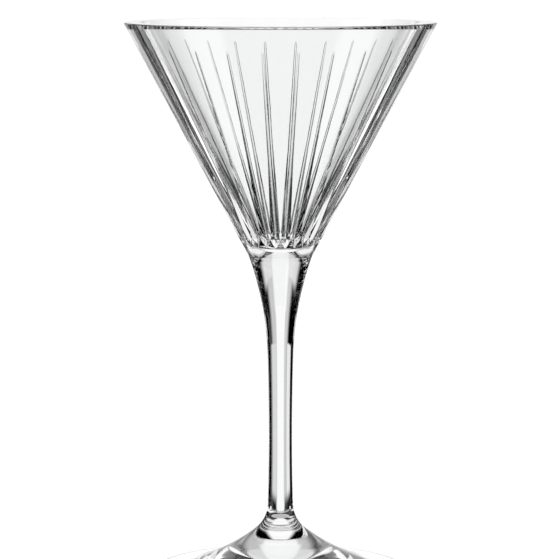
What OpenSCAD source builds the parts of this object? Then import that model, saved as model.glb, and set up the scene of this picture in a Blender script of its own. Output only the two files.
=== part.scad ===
// Cut cocktail glass: a cone bowl with long vertical cuts, a drawn stem and a
// round foot, fused one on top of the other. Millimetres, +Z up, origin at the
// middle of the ring that the foot stands on.

/* [Whole glass] */
// Height from the table to the rim
height = 180; // [176:1:186]

/* [Bowl] */
// Outside diameter of the rim
rim_d = 101; // [98:1:104]
// Slope of the outside of the wall, degrees from the vertical
wall_angle = 28.1; // [27.5:0.1:28.5]
// Thickness of the wall just below the rim, measured level
rim_wall = 5.3; // [4:0.1:5.6]
// Rounding of the two edges of the rim
rim_round = 0.3; // [0.2:0.1:0.6]
// Depth of the hollow, from the rim to its lowest point
hollow_depth = 72; // [68:1:73]
// Radius of the rounded bottom of the hollow
hollow_tip_r = 11.2; // [10:0.1:12]
// Height of the joint between bowl and stem
bowl_joint_z = 102; // [98:1:102]

/* [Cuts] */
// Number of cuts round the bowl
cut_count = 26; // [20:1:30]
// Distance from the rim down to the top of each cut
cut_top_drop = 7.5; // [6:0.5:12]
// Height of the lower end of each cut
cut_end_z = 108; // [106:0.5:109]
// Depth of a cut near its upper end, square to the wall
cut_top_depth = 0.15; // [0.1:0.05:0.25]
// Distance down the wall, from the top of a cut, to the place from which it deepens faster
cut_knee = 40; // [30:1:50]
// Depth of a cut at that place, square to the wall
cut_knee_depth = 0.5; // [0.4:0.05:0.7]
// Depth that a cut would have at its lower end if it didn't run out, square to the wall
cut_end_depth = 1.6; // [1:0.1:1.8]
// Angle between the two flanks of a cut
cut_flank_angle = 80; // [70:2:100]
// Angle at which a cut runs in from the wall at its upper end
cut_lead_in = 6; // [4:1:12]
// Angle at which a cut runs out to the wall at its lower end
cut_run_out = 32; // [25:1:45]

/* [Stem] */
// Diameter at the joint with the foot
stem_base_d = 8.4; // [8.2:0.1:9]
// Diameter at the waist, the thinnest place
stem_waist_d = 7.6; // [7:0.1:7.8]
// Diameter where the flare starts
stem_neck_d = 8.4; // [8:0.1:8.6]
// Height of the waist
stem_waist_z = 45; // [42:1:50]
// Height where the flare starts
stem_neck_z = 72; // [70:1:73]
// Height at which the flare meets the straight wall of the bowl
flare_top_z = 104.4; // [102.5:0.1:105]

/* [Foot] */
// Diameter of the foot
foot_d = 82; // [78:1:86]
// Thickness of the edge of the foot
foot_edge = 2; // [1.6:0.1:2.6]
// Slope of the top of the foot at its edge, degrees from the level
foot_edge_slope = 6; // [5:0.5:7]
// Height of the joint between foot and stem
foot_joint_z = 21.7; // [21:0.1:24]
// Lean of the side of the foot at that joint, degrees from the vertical
ankle_lean = 11; // [2:1:14]
// Radius of the small arc below the joint; a wide arc carries on from it to the edge
ankle_r = 11.5; // [10:0.5:13]
// Width of the flat ring that the foot stands on
stand_ring_w = 2.5; // [1.5:0.5:4]
// Height of the hollow under the middle of the foot
kick_h = 3; // [1.5:0.5:4]

/* [Hidden] */
$fn = 96;

// Length of one straight piece of a drawn arc
arc_step = 1.6;
// How far a cutting body reaches past the ends of a cut
over = 2;
// How far a cutting body stands proud of the outside of the wall
cut_clear = 0.05;

rim_r = rim_d / 2;
rim_c = [rim_r - rim_round, height - rim_round];
foot_r = foot_d / 2;
base_r = stem_base_d / 2;
waist_r = stem_waist_d / 2;
neck_r = stem_neck_d / 2;

// Points on a circle about c, from angle a0 to angle a1
function arc(c, r, a0, a1) =
    let (n = max(2, ceil(abs(a1 - a0) * PI / 180 * r / arc_step)))
    [for (i = [0 : n])
        let (a = a0 + (a1 - a0) * i / n)
        c + r * [cos(a), sin(a)]];

// Point at height z on the outside of the straight wall, which is tangent to the rim's outer edge
function wall_point(z) =
    [rim_c.x + (rim_round + (z - rim_c.y) * sin(wall_angle)) / cos(wall_angle), z];

// Radius of the circle that is upright at the waist and comes out by dr at a height dz away
function bow_r(dr, dz) = (dr * dr + dz * dz) / (2 * dr);

// Foot: the small arc comes down from the stem; the wide arc is tangent to it and to the top of the edge
edge_round = foot_edge / 2;
edge_c = [foot_r - edge_round, edge_round];
edge_n = [sin(foot_edge_slope), cos(foot_edge_slope)];
ankle_c = [base_r, foot_joint_z] + ankle_r * [cos(ankle_lean), sin(ankle_lean)];
ankle_to_edge = edge_c + edge_round * edge_n - ankle_c;
skirt_r = (ankle_r * ankle_r - ankle_to_edge * ankle_to_edge) / (2 * (ankle_to_edge * edge_n + ankle_r));
skirt_c = edge_c + (edge_round + skirt_r) * edge_n;
skirt_slope = atan2(skirt_c.x - ankle_c.x, skirt_c.y - ankle_c.y);

// Stem: one bow below the waist, one above it, and the flare that carries the upper one on to the wall
low_bow_r = bow_r(base_r - waist_r, stem_waist_z - foot_joint_z);
top_bow_r = bow_r(neck_r - waist_r, stem_neck_z - stem_waist_z);
low_bow_a = asin((stem_waist_z - foot_joint_z) / low_bow_r);
top_bow_a = asin((stem_neck_z - stem_waist_z) / top_bow_r);
neck_n = [cos(top_bow_a), -sin(top_bow_a)];
neck_to_wall = wall_point(flare_top_z) - [neck_r, stem_neck_z];
flare_r = (neck_to_wall * neck_to_wall) / (2 * (neck_to_wall * neck_n));
flare_c = [neck_r, stem_neck_z] + flare_r * neck_n;
joint_flare_a = asin((bowl_joint_z - flare_c.y) / flare_r);
flare_top_a = asin((flare_top_z - flare_c.y) / flare_r);

// Hollow: a cone that is tangent to the rim's inner edge and to a ball at its bottom
mouth_c = [rim_r - rim_wall + rim_round, height - rim_round];
tip_c = [0, height - hollow_depth + hollow_tip_r];
tip_to_mouth = mouth_c - tip_c;
hollow_angle = acos((hollow_tip_r + rim_round) / norm(tip_to_mouth))
    - atan2(tip_to_mouth.y, tip_to_mouth.x);

// Cuts: distances are measured down the wall from the top of the cut
cut_top = wall_point(height - cut_top_drop);
cut_len = (cut_top.y - cut_end_z) / cos(wall_angle);
upper_lean = atan((cut_knee_depth - cut_top_depth) / cut_knee);
lower_lean = atan((cut_end_depth - cut_knee_depth) / (cut_len - cut_knee));

// Cross-section of the foot, from the axis out and back
module foot_outline() {
    kick_edge_r = edge_c.x - stand_ring_w;
    kick_r = bow_r(kick_h, kick_edge_r);
    kick_a = asin(kick_edge_r / kick_r);
    polygon(concat(
        arc([0, kick_h - kick_r], kick_r, 90, 90 - kick_a),
        arc(edge_c, edge_round, 270, 450 - foot_edge_slope),
        arc(skirt_c, skirt_r, 270 - foot_edge_slope, 270 - skirt_slope),
        arc(ankle_c, ankle_r, 270 - skirt_slope, 180 + ankle_lean),
        [[0, foot_joint_z]]
    ));
}

// Cross-section of the stem
module stem_outline() {
    polygon(concat(
        [[0, foot_joint_z]],
        arc([waist_r + low_bow_r, stem_waist_z], low_bow_r, 180 + low_bow_a, 180),
        arc([waist_r + top_bow_r, stem_waist_z], top_bow_r, 180, 180 - top_bow_a),
        arc(flare_c, flare_r, 180 - top_bow_a, 180 - joint_flare_a),
        [[0, bowl_joint_z]]
    ));
}

// Cross-section of the bowl before it is cut
module bowl_outline() {
    polygon(concat(
        [[0, bowl_joint_z]],
        arc(flare_c, flare_r, 180 - joint_flare_a, 180 - flare_top_a),
        arc(rim_c, rim_round, -wall_angle, 90),
        arc(mouth_c, rim_round, 90, 180 - hollow_angle),
        arc(tip_c, hollow_tip_r, -hollow_angle, -90)
    ));
}

// Long V whose bottom starts at distance s down the wall and at depth d, and leans in by angle a
module vee(s, d, a) {
    tall = cut_len;
    half_w = tall * tan(cut_flank_angle / 2);
    translate([-d, 0, -s])
        rotate([0, a, 0])
            rotate([0, 0, 90])
                linear_extrude(height = 4 * cut_len, center = true)
                    polygon([[0, 0], [half_w, -tall], [-half_w, -tall]]);
}

// Slab that reaches from inside the wall to just clear of its outside
module wall_slab() {
    w = 4 * cut_end_depth * tan(cut_flank_angle / 2);
    translate([-2 * cut_end_depth, -w / 2, -cut_len - over])
        cube([2 * cut_end_depth + cut_clear, w, cut_len + 2 * over]);
}

// What one cut takes away: a shallow V and a steeper one below it, which lead in and run out at the ends
module cut_tool() {
    translate([cut_top.x, 0, cut_top.y])
        rotate([0, wall_angle, 0])
            intersection() {
                wall_slab();
                union() {
                    vee(0, cut_top_depth, upper_lean);
                    vee(cut_knee, cut_knee_depth, lower_lean);
                }
                vee(0, 0, cut_lead_in);
                vee(cut_len, 0, -cut_run_out);
            }
}

module bowl() {
    color("aliceblue")
        difference() {
            rotate_extrude() bowl_outline();
            for (i = [0 : cut_count - 1])
                rotate([0, 0, 360 * (i + 0.5) / cut_count - 90])
                    cut_tool();
        }
}

module stem() {
    color("lightcyan") rotate_extrude() stem_outline();
}

module foot() {
    color("azure") rotate_extrude() foot_outline();
}

bowl();
stem();
foot();
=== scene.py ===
from math import acos, asin, atan2, ceil, cos, hypot, pi, radians, sin, tan

import bpy
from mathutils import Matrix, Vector


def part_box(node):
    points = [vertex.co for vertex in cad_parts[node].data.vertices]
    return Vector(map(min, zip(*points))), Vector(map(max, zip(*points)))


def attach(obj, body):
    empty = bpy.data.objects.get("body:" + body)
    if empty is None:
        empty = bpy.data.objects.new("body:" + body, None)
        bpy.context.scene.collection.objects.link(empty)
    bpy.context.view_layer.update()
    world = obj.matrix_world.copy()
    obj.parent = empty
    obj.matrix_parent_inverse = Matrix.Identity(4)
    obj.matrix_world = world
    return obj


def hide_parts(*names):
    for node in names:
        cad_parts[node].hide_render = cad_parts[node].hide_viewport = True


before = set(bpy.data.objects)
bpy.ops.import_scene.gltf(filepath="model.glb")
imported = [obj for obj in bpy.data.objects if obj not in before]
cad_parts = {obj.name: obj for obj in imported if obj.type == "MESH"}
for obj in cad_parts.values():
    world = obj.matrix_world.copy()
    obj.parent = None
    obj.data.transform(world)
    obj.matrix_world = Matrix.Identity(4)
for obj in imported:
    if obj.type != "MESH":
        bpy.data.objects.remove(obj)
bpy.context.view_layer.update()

MM = 0.001

# ---- Sizes that the frame gives -------------------------------------------------------------

foot_box, stem_box, bowl_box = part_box("foot"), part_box("stem"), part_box("bowl")
height = bowl_box[1].z
bowl_joint_z = stem_box[1].z
foot_joint_z = foot_box[1].z

# ---- Sizes inside the pieces, the same as in the CAD model ----------------------------------

rim_r = 50.5 * MM
wall_angle = radians(28.1)
rim_wall = 5.3 * MM
rim_round = 0.3 * MM
hollow_depth = 72 * MM
hollow_tip_r = 11.2 * MM

cut_count = 26
cut_top_drop = 7.5 * MM
cut_end_z = 108 * MM
cut_top_depth = 0.15 * MM
cut_knee = 40 * MM
cut_knee_depth = 0.5 * MM
cut_end_depth = 1.6 * MM
# The two flanks of a cut stand 80 degrees apart, and this is the slope of each from the wall
flank_slope = radians(90 - 80 / 2)
cut_lead_in = radians(6)
cut_run_out = radians(32)

base_r = 4.2 * MM
waist_r = 3.8 * MM
neck_r = 4.2 * MM
waist_z = 45 * MM
neck_z = 72 * MM
flare_top_z = 104.4 * MM

foot_r = 41 * MM
edge_r = 1 * MM
edge_slope = radians(6)
ankle_lean = radians(11)
ankle_r = 11.5 * MM
stand_ring_w = 2.5 * MM
kick_h = 3 * MM

# ---- Detail that only the visual model has --------------------------------------------------

# Radius of the rounded bottom of a cut
cut_tip_r = 0.5 * MM


# ---- Outlines: lists of (radius, height, normal angle from outward, towards up) --------------

def arc(c, r, a0, a1, step, side=1):
    """Points on a circle about c, each with its outward normal, turned round where side is -1."""
    n = max(2, ceil(abs(a1 - a0) * r / step))
    points = []
    for i in range(n + 1):
        a = a0 + (a1 - a0) * i / n
        points.append((c[0] + r * cos(a), c[1] + r * sin(a), a if side > 0 else a + pi))
    return points


def line(p, q, normal, step):
    """Points on a straight line from p to q."""
    n = max(1, ceil(hypot(q[0] - p[0], q[1] - p[1]) / step))
    return [(p[0] + (q[0] - p[0]) * i / n, p[1] + (q[1] - p[1]) * i / n, normal) for i in range(n + 1)]


def dot(p, q):
    return p[0] * q[0] + p[1] * q[1]


def bow_r(dr, dz):
    """Radius of the circle that is upright at the waist and comes out by dr at a height dz away."""
    return (dr * dr + dz * dz) / (2 * dr)


# Bowl: the straight wall is tangent to the rim's outer edge
rim_c = (rim_r - rim_round, height - rim_round)


def wall_r(z):
    """Radius of the straight outside of the wall at a height."""
    return rim_c[0] + (rim_round + (z - rim_c[1]) * sin(wall_angle)) / cos(wall_angle)


# Stem: one bow below the waist, one above it, and the flare that carries the upper one on to the wall
low_bow_r = bow_r(base_r - waist_r, waist_z - foot_joint_z)
top_bow_r = bow_r(neck_r - waist_r, neck_z - waist_z)
low_bow_a = asin((waist_z - foot_joint_z) / low_bow_r)
top_bow_a = asin((neck_z - waist_z) / top_bow_r)
neck_n = (cos(top_bow_a), -sin(top_bow_a))
neck_to_wall = (wall_r(flare_top_z) - neck_r, flare_top_z - neck_z)
flare_r = hypot(*neck_to_wall) ** 2 / (2 * dot(neck_to_wall, neck_n))
flare_c = (neck_r + flare_r * neck_n[0], neck_z + flare_r * neck_n[1])
joint_flare_a = asin((bowl_joint_z - flare_c[1]) / flare_r)

# Foot: the small arc comes down from the stem; the wide arc is tangent to it and to the top of the edge
edge_c = (foot_r - edge_r, edge_r)
edge_n = (sin(edge_slope), cos(edge_slope))
ankle_c = (base_r + ankle_r * cos(ankle_lean), foot_joint_z + ankle_r * sin(ankle_lean))
to_edge = (edge_c[0] + edge_r * edge_n[0] - ankle_c[0], edge_c[1] + edge_r * edge_n[1] - ankle_c[1])
skirt_r = (ankle_r ** 2 - hypot(*to_edge) ** 2) / (2 * (dot(to_edge, edge_n) + ankle_r))
skirt_c = (edge_c[0] + (edge_r + skirt_r) * edge_n[0], edge_c[1] + (edge_r + skirt_r) * edge_n[1])
skirt_slope = atan2(skirt_c[0] - ankle_c[0], skirt_c[1] - ankle_c[1])

# Hollow of the bowl
mouth_c = (rim_r - rim_wall + rim_round, height - rim_round)
tip_c = (0, height - hollow_depth + hollow_tip_r)
to_mouth = (mouth_c[0] - tip_c[0], mouth_c[1] - tip_c[1])
hollow_a = acos((hollow_tip_r + rim_round) / hypot(*to_mouth)) - atan2(to_mouth[1], to_mouth[0])


def outside(z):
    """Radius and normal angle of the bowl's uncut outside at a height."""
    if z < flare_top_z:
        flare_a = asin((z - flare_c[1]) / flare_r)
        return flare_c[0] - flare_r * cos(flare_a), -flare_a
    return wall_r(z), -wall_angle


# ---- Meshes ---------------------------------------------------------------------------------

half_sector = pi / cut_count
# Columns of faces on each side of a cut's middle: on its rounded bottom, on its flank and on the wall
TIP_COLUMNS = 3
FLANK_COLUMNS = 3
WALL_COLUMNS = 4
# Half the width that the columns of a cut keep where there is no cut
NO_CUT = 0.05 * MM
# Most of a cut's half width that the columns on its rounded bottom take up
TIP_SHARE = 0.6
# Most of the way to the middle of the wall that a cut's edge takes up
EDGE_SHARE = 0.98
# Columns round the foot and the stem
TURNED_COLUMNS = 384
# Length too short to matter
TINY = 1e-8

cut_top_z = height - cut_top_drop
cut_len = (cut_top_z - cut_end_z) / cos(wall_angle)


def cut_depth(s):
    """Depth of a cut, square to the wall, at a distance down the wall from its upper end."""
    upper = cut_top_depth + s * (cut_knee_depth - cut_top_depth) / cut_knee
    lower = cut_knee_depth + (s - cut_knee) * (cut_end_depth - cut_knee_depth) / (cut_len - cut_knee)
    return min(max(upper, lower), s * tan(cut_lead_in), (cut_len - s) * tan(cut_run_out))


def valley(z):
    """Radius of the bottom of a cut at a height, or None where there is no cut."""
    s = (cut_top_z - z) / cos(wall_angle)
    for _ in range(8):
        s = (cut_top_z - z + cut_depth(s) * sin(wall_angle)) / cos(wall_angle)
    if not 0 < s < cut_len:
        return None
    return wall_r(cut_top_z) - s * sin(wall_angle) - cut_depth(s) * cos(wall_angle)


def rise(y):
    """Height of a cut's surface above its bottom, at a distance from its middle, and its slope there."""
    shoulder = cut_tip_r * sin(flank_slope)
    if y < shoulder:
        return cut_tip_r - (cut_tip_r ** 2 - y * y) ** 0.5, y / (cut_tip_r ** 2 - y * y) ** 0.5
    return cut_tip_r * (1 - cos(flank_slope)) + (y - shoulder) * tan(flank_slope), tan(flank_slope)


class Row:
    """One level of the bowl's outside: where its columns stand and how the glass faces there."""

    def __init__(self, z):
        self.z = z
        self.wall, self.tilt = outside(z)
        self.valley = valley(z)
        self.edge = NO_CUT
        if self.valley is not None:
            dz = 0.05 * MM
            above, below = valley(z + dz), valley(z - dz)
            if above is None:
                self.lean = (self.valley - below) / dz
            elif below is None:
                self.lean = (above - self.valley) / dz
            else:
                self.lean = (above - below) / (2 * dz)
            self.stretch = hypot(1, self.lean)
            lo, hi = 0, self.wall * sin(half_sector)
            for _ in range(40):
                y = (lo + hi) / 2
                if hypot(self.valley + rise(y)[0] * self.stretch, y) < self.wall:
                    lo = y
                else:
                    hi = y
            self.edge = max(NO_CUT, lo)
        self.limit = self.wall * sin(half_sector) * EDGE_SHARE
        self.edge = min(self.edge, self.limit)

    def spread(self):
        """Distances of the columns in a cut from its middle plane."""
        shoulder = min(cut_tip_r * sin(flank_slope), TIP_SHARE * self.edge)
        tip = [shoulder * i / TIP_COLUMNS for i in range(TIP_COLUMNS)]
        flank = [shoulder + (self.edge - shoulder) * i / FLANK_COLUMNS for i in range(FLANK_COLUMNS)]
        return tip + flank

    def place(self, y):
        """Distance from the axis along a cut's middle plane, y beside it, and whether that is in the cut."""
        if self.valley is not None:
            x = self.valley + rise(y)[0] * self.stretch
            if hypot(x, y) < self.wall + TINY:
                return x, True
        return (self.wall ** 2 - y * y) ** 0.5, False

    def columns(self):
        """(x, in the cut, y) from a cut's middle to the middle of the wall beside it."""
        found = [(*self.place(y), y) for y in self.spread()]
        x0, cut0 = self.place(self.edge)
        a0 = atan2(self.edge, x0)
        found.append((x0, cut0, self.edge))
        for i in range(1, WALL_COLUMNS + 1):
            a = a0 + (half_sector - a0) * i / WALL_COLUMNS
            r = self.wall
            if self.valley is not None:
                # on the neighbouring flank where the cuts run into each other
                x = self.valley
                for _ in range(30):
                    x = self.valley + rise(x * tan(a))[0] * self.stretch
                r = min(r, x / cos(a))
            found.append((r * cos(a), r < self.wall - TINY, r * sin(a)))
        return found

    def normal(self, x, in_cut, y, side, middle):
        """Normal at a point of a column, on the side of the cut's middle given by side."""
        if in_cut and self.valley is not None:
            n = Vector((1, -rise(y)[1] * self.stretch * side, -self.lean)).normalized()
            c, s = cos(middle), sin(middle)
            return Vector((n.x * c - n.y * s, n.x * s + n.y * c, n.z))
        c, a = cos(self.tilt), middle + side * atan2(y, x)
        return Vector((c * cos(a), c * sin(a), sin(self.tilt)))


def make_object(name, vertices, faces, normals, materials, slots):
    """Object with smooth faces, a normal for each corner of a face, and a material slot for each face."""
    mesh = bpy.data.meshes.new(name)
    mesh.from_pydata(vertices, [], faces)
    for m in materials:
        mesh.materials.append(m)
    mesh.polygons.foreach_set("material_index", slots)
    mesh.polygons.foreach_set("use_smooth", [True] * len(faces))
    mesh.update()
    mesh.normals_split_custom_set(normals)
    obj = bpy.data.objects.new(name, mesh)
    bpy.context.scene.collection.objects.link(obj)
    return obj


class Skin:
    """Collects the levels of a round solid, along its outline from the axis round and back to the axis."""

    def __init__(self):
        self.vertices, self.faces, self.normals, self.slots = [], [], [], []

    def level(self, points):
        start = len(self.vertices)
        self.vertices += points
        return list(range(start, start + len(points)))

    def band(self, low, high, normal_low, normal_high, slot=0):
        """Faces between two levels; normal_low(j, i) is the normal at column i of face j."""
        n = max(len(low), len(high))
        for j in range(n):
            k = (j + 1) % n
            if len(low) == 1:
                self.faces.append((low[0], high[k], high[j]))
                self.normals += [normal_low(j, j), normal_high(j, k), normal_high(j, j)]
            elif len(high) == 1:
                self.faces.append((low[j], low[k], high[0]))
                self.normals += [normal_low(j, j), normal_low(j, k), normal_high(j, j)]
            else:
                self.faces.append((low[j], low[k], high[k], high[j]))
                self.normals += [normal_low(j, j), normal_low(j, k), normal_high(j, k), normal_high(j, j)]
            self.slots.append(slot)


def round_normal(angles, tilt):
    """Normals of a turned surface that faces up by an angle, as Skin.band asks for them."""
    c, s = cos(tilt), sin(tilt)
    rows = [Vector((c * cos(a), c * sin(a), s)) for a in angles]
    return lambda j, i: rows[i]


def round_points(angles, r, z):
    """Points of a level, or the one point on the axis."""
    if r < TINY:
        return [Vector((0, 0, z))]
    return [Vector((r * cos(a), r * sin(a), z)) for a in angles]


def add_strips(skin, angles, strips):
    """Adds outlines, each (points, material slot), one from where the one before ended."""
    last = None
    for points, slot in strips:
        if last is None:
            last = skin.level(round_points(angles, points[0][0], points[0][1]))
        for p, q in zip(points, points[1:]):
            new = skin.level(round_points(angles, q[0], q[1]))
            skin.band(last, new, round_normal(angles, p[2]), round_normal(angles, q[2]), slot)
            last = new
    return last


def turned(name, strips, materials):
    """Solid that its outlines make when they are turned round the axis."""
    skin = Skin()
    add_strips(skin, [2 * pi * i / TURNED_COLUMNS for i in range(TURNED_COLUMNS)], strips)
    return make_object(name, skin.vertices, skin.faces, skin.normals, materials, skin.slots)


def make_foot(materials):
    kick_edge_r = edge_c[0] - stand_ring_w
    kick_r = bow_r(kick_h, kick_edge_r)
    kick_a = asin(kick_edge_r / kick_r)
    step = 0.8 * MM
    kick = arc((0, kick_h - kick_r), kick_r, pi / 2, pi / 2 - kick_a, step, -1)
    ring = line((kick_edge_r, 0), (edge_c[0], 0), -pi / 2, 1)
    edge = arc(edge_c, edge_r, -pi / 2, pi / 2 - edge_slope, 0.15 * MM)
    skirt = arc(skirt_c, skirt_r, 1.5 * pi - edge_slope, 1.5 * pi - skirt_slope, step, -1)
    ankle = arc(ankle_c, ankle_r, 1.5 * pi - skirt_slope, pi + ankle_lean, 0.3 * MM, -1)
    top = line((base_r, foot_joint_z), (0, foot_joint_z), pi / 2, 1)
    strips = [(kick, 0), (ring, 0), (edge, 0), (skirt + ankle[1:], 0), (top, 1)]
    return turned("foot_fine", strips, materials)


def make_stem(materials):
    step = 0.6 * MM
    bottom = line((0, foot_joint_z), (base_r, foot_joint_z), -pi / 2, 1)
    low = arc((waist_r + low_bow_r, waist_z), low_bow_r, pi + low_bow_a, pi, step, -1)
    up = arc((waist_r + top_bow_r, waist_z), top_bow_r, pi, pi - top_bow_a, step, -1)
    flare = arc(flare_c, flare_r, pi - top_bow_a, pi - joint_flare_a, step, -1)
    top = line((flare[-1][0], bowl_joint_z), (0, bowl_joint_z), pi / 2, 1)
    return turned("stem_fine", [(bottom, 1), (low + up[1:] + flare[1:], 0), (top, 1)], materials)


def levels(z0, z1, step):
    """Heights from z0 up to z1, which is left out."""
    n = max(1, ceil(abs(z1 - z0) / step))
    return [z0 + (z1 - z0) * i / n for i in range(n)]


def make_bowl(materials):
    skin = Skin()
    lead_z = cut_top_z - 6 * MM
    out_z = cut_end_z + 6 * MM
    coarse, close = 1.5 * MM, 0.25 * MM
    wall_top_z = rim_c[1] - rim_round * sin(wall_angle)
    heights = (levels(bowl_joint_z, cut_end_z, 2 * close) + levels(cut_end_z, out_z, close)
               + levels(out_z, lead_z, coarse) + levels(lead_z, cut_top_z, close)
               + levels(cut_top_z, wall_top_z, coarse) + [wall_top_z])
    rows = [Row(z) for z in heights]
    half = TIP_COLUMNS + FLANK_COLUMNS + WALL_COLUMNS
    middles = [2 * pi * (c + 0.5) / cut_count - pi / 2 for c in range(cut_count)]
    # columns of one cut, from the wall's middle on one side in to its bottom and out again
    order = [(-1, i) for i in range(half, 0, -1)] + [(1, i) for i in range(half)]

    def ring(row):
        """Points of a level and their angles: each cut from the wall's middle on one side to the other."""
        points, angles = [], []
        found = row.columns()
        for m in middles:
            for side, i in order:
                x, _, y = found[i]
                a = m + side * atan2(y, x)
                angles.append(a)
                points.append(Vector((hypot(x, y) * cos(a), hypot(x, y) * sin(a), row.z)))
        return points, angles

    def facing(row):
        """Normals at the two ends of the faces of a level."""
        found = row.columns()

        def normal(j, i):
            sector, place = divmod(j, 2 * half)
            side = -1 if place < half else 1
            ends = (half - place, half - place - 1) if side < 0 else (place - half, place - half + 1)
            x, in_cut, y = found[ends[0] if i == j else ends[1]]
            if max(ends) <= TIP_COLUMNS + FLANK_COLUMNS and row.valley is not None and row.edge > NO_CUT:
                in_cut = True
            elif max(ends) > TIP_COLUMNS + FLANK_COLUMNS and row.edge < row.limit:
                in_cut = False
            return row.normal(x, in_cut, y, side, middles[sector])
        return normal

    disc = line((0, bowl_joint_z), (rows[0].wall, bowl_joint_z), -pi / 2, 1)
    last = add_strips(skin, ring(rows[0])[1], [(disc, 1)])
    previous = facing(rows[0])
    for row in rows[1:]:
        level, here = skin.level(ring(row)[0]), facing(row)
        skin.band(last, level, previous, here)
        last, previous = level, here
    before = ring(rows[-1])[1]
    even = [m + side * half_sector * i / half for m in middles for side, i in order]
    fine = 0.08 * MM
    lip = arc(rim_c, rim_round, -wall_angle, pi / 2, fine)
    land = line((rim_c[0], height), (mouth_c[0], height), pi / 2, 1)
    inner = arc(mouth_c, rim_round, pi / 2, pi - hollow_a, fine)
    ball = arc(tip_c, hollow_tip_r, -hollow_a, -pi / 2, 0.4 * MM, -1)
    cone = line(inner[-1][:2], ball[0][:2], pi - hollow_a, 2 * MM)
    profile = lip + land[1:] + inner[1:] + cone[1:] + ball[1:]
    for p, q in zip(profile, profile[1:]):
        new = skin.level(round_points(even, q[0], q[1]))
        skin.band(last, new, round_normal(before, p[2]), round_normal(even, q[2]))
        last, before = new, even
    return make_object("bowl_fine", skin.vertices, skin.faces, skin.normals, materials, skin.slots)


# ---- Materials ------------------------------------------------------------------------------

GLASS_IOR = 1.53
GLASS_TINT = (0.995, 1, 0.998, 1)
# Height of the waves that forming left in the surface
WAVE_HEIGHT = 0.006 * MM
# Smears: their roughness, how many to the metre, and the part of the noise that they show
SMEAR_ROUGHNESS = 0.03
SMEAR_SCALE = 90
SMEAR_FROM = 0.55
SMEAR_TO = 0.8


class Maths:
    """Short names for the maths nodes of one node tree."""

    def __init__(self, tree):
        self.tree = tree

    def op(self, kind, *values):
        node = self.tree.nodes.new("ShaderNodeMath")
        node.operation = kind
        for socket, value in zip(node.inputs, values):
            if isinstance(value, (int, float)):
                socket.default_value = value
            else:
                self.tree.links.new(value, socket)
        return node.outputs[0]

    def step(self, value, lo, hi, soft):
        """1 between lo and hi, falling to 0 over soft on both sides."""
        def ramp(a, b):
            node = self.tree.nodes.new("ShaderNodeMapRange")
            node.interpolation_type = "SMOOTHSTEP"
            self.tree.links.new(value, node.inputs["Value"])
            node.inputs["From Min"].default_value = a
            node.inputs["From Max"].default_value = b
            return node.outputs["Result"]
        return self.op("MULTIPLY", ramp(lo - soft, lo), ramp(hi + soft, hi))


def clear_glass(name, waves):
    """Clear crystal: waves left by the way it was formed bend the gloss, and faint smears soften it."""
    material = bpy.data.materials.new(name)
    material.use_nodes = True
    tree = material.node_tree
    shader = tree.nodes["Principled BSDF"]
    shader.inputs["Base Color"].default_value = GLASS_TINT
    shader.inputs["Transmission Weight"].default_value = 1
    shader.inputs["IOR"].default_value = GLASS_IOR
    place = tree.nodes.new("ShaderNodeTexCoord").outputs["Object"]
    bump = tree.nodes.new("ShaderNodeBump")
    bump.inputs["Strength"].default_value = 1
    bump.inputs["Distance"].default_value = WAVE_HEIGHT
    tree.links.new(noise(tree, waves(tree, place), 1, 2), bump.inputs["Height"])
    tree.links.new(bump.outputs[0], shader.inputs["Normal"])
    smears = tree.nodes.new("ShaderNodeMapRange")
    smears.inputs["From Min"].default_value = SMEAR_FROM
    smears.inputs["From Max"].default_value = SMEAR_TO
    smears.inputs["To Max"].default_value = SMEAR_ROUGHNESS
    tree.links.new(noise(tree, place, SMEAR_SCALE, 4), smears.inputs["Value"])
    tree.links.new(smears.outputs[0], shader.inputs["Roughness"])
    return material


def noise(tree, place, scale, detail):
    """Noise with so many waves to the metre of place."""
    node = tree.nodes.new("ShaderNodeTexNoise")
    node.inputs["Scale"].default_value = scale
    node.inputs["Detail"].default_value = detail
    tree.links.new(place, node.inputs["Vector"])
    return node.outputs[0]


def stretched(across, along):
    """Waves that run up and down: so many to the metre across them, and so many along them."""
    def waves(tree, place):
        node = tree.nodes.new("ShaderNodeMapping")
        node.inputs["Scale"].default_value = (across, across, along)
        tree.links.new(place, node.inputs["Vector"])
        return node.outputs[0]
    return waves


def spun(across):
    """Waves that run round the axis, as spinning leaves them."""
    def waves(tree, place):
        maths = Maths(tree)
        split = tree.nodes.new("ShaderNodeSeparateXYZ")
        tree.links.new(place, split.inputs[0])
        x, y, z = split.outputs
        radius = maths.op("SQRT", maths.op("ADD", maths.op("MULTIPLY", x, x), maths.op("MULTIPLY", y, y)))
        joined = tree.nodes.new("ShaderNodeCombineXYZ")
        tree.links.new(maths.op("MULTIPLY", radius, across), joined.inputs[0])
        tree.links.new(maths.op("MULTIPLY", z, across), joined.inputs[2])
        return joined.outputs[0]
    return waves


def joint_face(name):
    """The face where two pieces are fused: nothing shows there."""
    material = bpy.data.materials.new(name)
    material.use_nodes = True
    nodes, links = material.node_tree.nodes, material.node_tree.links
    nodes.clear()
    out = nodes.new("ShaderNodeOutputMaterial")
    see_through = nodes.new("ShaderNodeBsdfTransparent")
    links.new(see_through.outputs[0], out.inputs["Surface"])
    return material


# ---- Stage ----------------------------------------------------------------------------------

WORLD_STRENGTH = 1.05
FLOOR_GLOW = 0.96
FLOOR_GREY = (0.3, 0.3, 0.3, 1)
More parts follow.
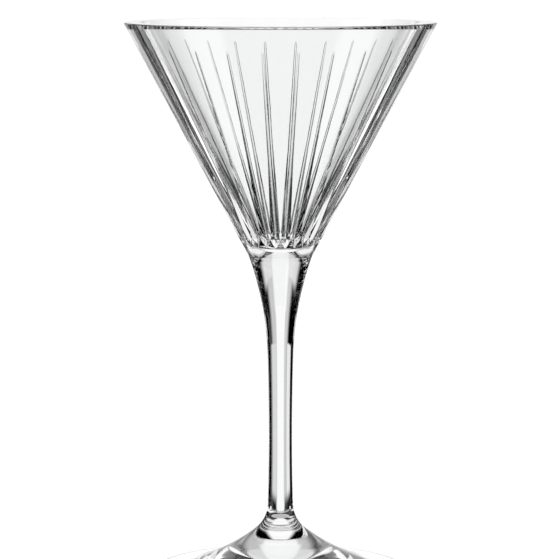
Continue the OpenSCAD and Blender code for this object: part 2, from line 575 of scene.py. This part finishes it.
# Light boxes, as seen from the glass, in degrees: the azimuth of the middle, from the back to the right,
# half the width and its softness, the lowest and highest elevation and their softness, and the strength
LIGHTS = [
    # the back wall, brightest behind the glass, and the two softer panels beside it
    (0, 9, 8, -60, 5, 3, 1.0),
    (0, 10, 10, 5, 38, 5, 0.95),
    (2, 19, 10, -11.5, 16, 0.8, 0.6),
    (0, 26, 12, 14, 36, 4, 0.75),
    (-31, 8, 3, -11.5, -3, 0.8, 0.85),
    (20, 5, 16, -11.5, -3, 0.8, 0.72),
    # narrow lamps that draw the white line along both sides of the bowl
    (-42, 2.5, 1.5, -25, -20, 1, 1.5),
    (42, 2.5, 1.5, -25, -20, 1, 1.5),
    (-50, 6, 2, -32, -27, 1, 1.1),
    (50, 6, 2, -32, -27, 1, 1.1),
    # large panels on both sides
    (-100, 25, 8, 8, 45, 4, 1.1),
    (100, 25, 8, 8, 45, 4, 1.1),
    (-65, 6, 3, 1, 8, 1, 0.7),
    (65, 6, 3, 1, 8, 1, 0.7),
    (95, 30, 6, -9, -4, 2, 0.25),
    # windows that light the glass from where nothing of them shows from the front
    (-92, 14, 6, -18, 8, 3, 1.0),
    (135, 16, 6, -40, 26, 4, 1.0),
    (-47, 9, 4, -58, -42, 3, 1.0),
    # the ceiling and the floor
    (180, 100, 10, 48, 65, 4, 0.25),
    (180, 180, 10, -90, -64, 4, 0.5),
]


def studio_world():
    """Black room with the light boxes; where two overlap, the stronger one shows."""
    world = bpy.data.worlds.new("studio")
    bpy.context.scene.world = world
    world.use_nodes = True
    tree = world.node_tree
    maths = Maths(tree)
    nodes, links = tree.nodes, tree.links
    direction = nodes.new("ShaderNodeTexCoord").outputs["Generated"]
    xyz = nodes.new("ShaderNodeSeparateXYZ")
    links.new(direction, xyz.inputs[0])
    x, y, z = xyz.outputs
    elevation = maths.op("MULTIPLY", maths.op("ARCSINE", z), 180 / pi)
    flat = maths.op("ADD", maths.op("MULTIPLY", x, x), maths.op("MULTIPLY", y, y))
    level = maths.op("SQRT", maths.op("ADD", flat, 1e-9))
    total = 0.0
    for azimuth, half, soft, lo, hi, fade, strength in LIGHTS:
        a = radians(azimuth)
        along = maths.op("ADD", maths.op("MULTIPLY", x, sin(a)), maths.op("MULTIPLY", y, cos(a)))
        away = maths.op("ARCCOSINE", maths.op("DIVIDE", along, level))
        away = maths.op("MULTIPLY", away, 180 / pi)
        box = maths.op("MULTIPLY", maths.step(away, -100, half, soft), maths.step(elevation, lo, hi, fade))
        total = maths.op("MAXIMUM", total, maths.op("MULTIPLY", box, strength))
    links.new(total, nodes["Background"].inputs["Color"])
    nodes["Background"].inputs["Strength"].default_value = WORLD_STRENGTH


def floor():
    """Pale disc that glows, so that it is as bright far off as near, and doesn't show in the glass."""
    mesh = bpy.data.meshes.new("floor")
    n = 96
    angles = [2 * pi * i / n for i in range(n)]
    rings = (0.02, 0.2, 1, 12)
    vertices = [(0, 0, 0)] + [(r * cos(a), r * sin(a), 0) for r in rings for a in angles]
    faces = [(0, 1 + i, 1 + (i + 1) % n) for i in range(n)]
    for k in range(len(rings) - 1):
        a, b = 1 + k * n, 1 + (k + 1) * n
        faces += [(a + i, b + i, b + (i + 1) % n, a + (i + 1) % n) for i in range(n)]
    mesh.from_pydata(vertices, [], faces)
    obj = bpy.data.objects.new("floor", mesh)
    bpy.context.scene.collection.objects.link(obj)
    material = bpy.data.materials.new("pale_floor")
    material.use_nodes = True
    nodes, links = material.node_tree.nodes, material.node_tree.links
    nodes.clear()
    out = nodes.new("ShaderNodeOutputMaterial")
    glow = nodes.new("ShaderNodeEmission")
    matt = nodes.new("ShaderNodeBsdfDiffuse")
    both = nodes.new("ShaderNodeAddShader")
    glow.inputs["Strength"].default_value = FLOOR_GLOW
    matt.inputs["Color"].default_value = FLOOR_GREY
    links.new(glow.outputs[0], both.inputs[0])
    links.new(matt.outputs[0], both.inputs[1])
    links.new(both.outputs[0], out.inputs["Surface"])
    mesh.materials.append(material)
    obj.visible_transmission = False
    obj.visible_glossy = False


# ---- Camera ---------------------------------------------------------------------------------

LENS = 215.7
CAMERA_AWAY = 1.080
CAMERA_ABOVE_RIM = 33.4 * MM
# The middle of the view lies a little to the left of the glass
CAMERA_AIM = Vector((-0.32 * MM, 0, 96.67 * MM))


def camera():
    """Camera in front of the glass and a little above the rim, looking slightly down."""
    data = bpy.data.cameras.new("camera")
    obj = bpy.data.objects.new("camera", data)
    bpy.context.scene.collection.objects.link(obj)
    data.lens = LENS
    data.sensor_width = 36
    data.clip_start, data.clip_end = 0.05, 50
    stand = Vector((0, -CAMERA_AWAY, height + CAMERA_ABOVE_RIM))
    obj.location = stand
    obj.rotation_mode = "QUATERNION"
    obj.rotation_quaternion = (CAMERA_AIM - stand).to_track_quat("-Z", "Y")
    bpy.context.scene.camera = obj


# ---- The scene ------------------------------------------------------------------------------

joint = joint_face("fused_joint")
# The bowl and the stem were drawn out along the axis, and the foot was spun
PIECES = (("bowl", make_bowl, stretched(220, 60)), ("stem", make_stem, stretched(500, 40)),
          ("foot", make_foot, spun(300)))
for node, make, waves in PIECES:
    piece = make([clear_glass(node + "_glass", waves), joint])
    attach(piece, "root")
    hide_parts(node)
studio_world()
floor()
camera()
bpy.context.scene.view_settings.view_transform = "Standard"
bpy.context.scene.cycles.max_bounces = 24
bpy.context.scene.cycles.transmission_bounces = 24
bpy.context.scene.cycles.glossy_bounces = 12
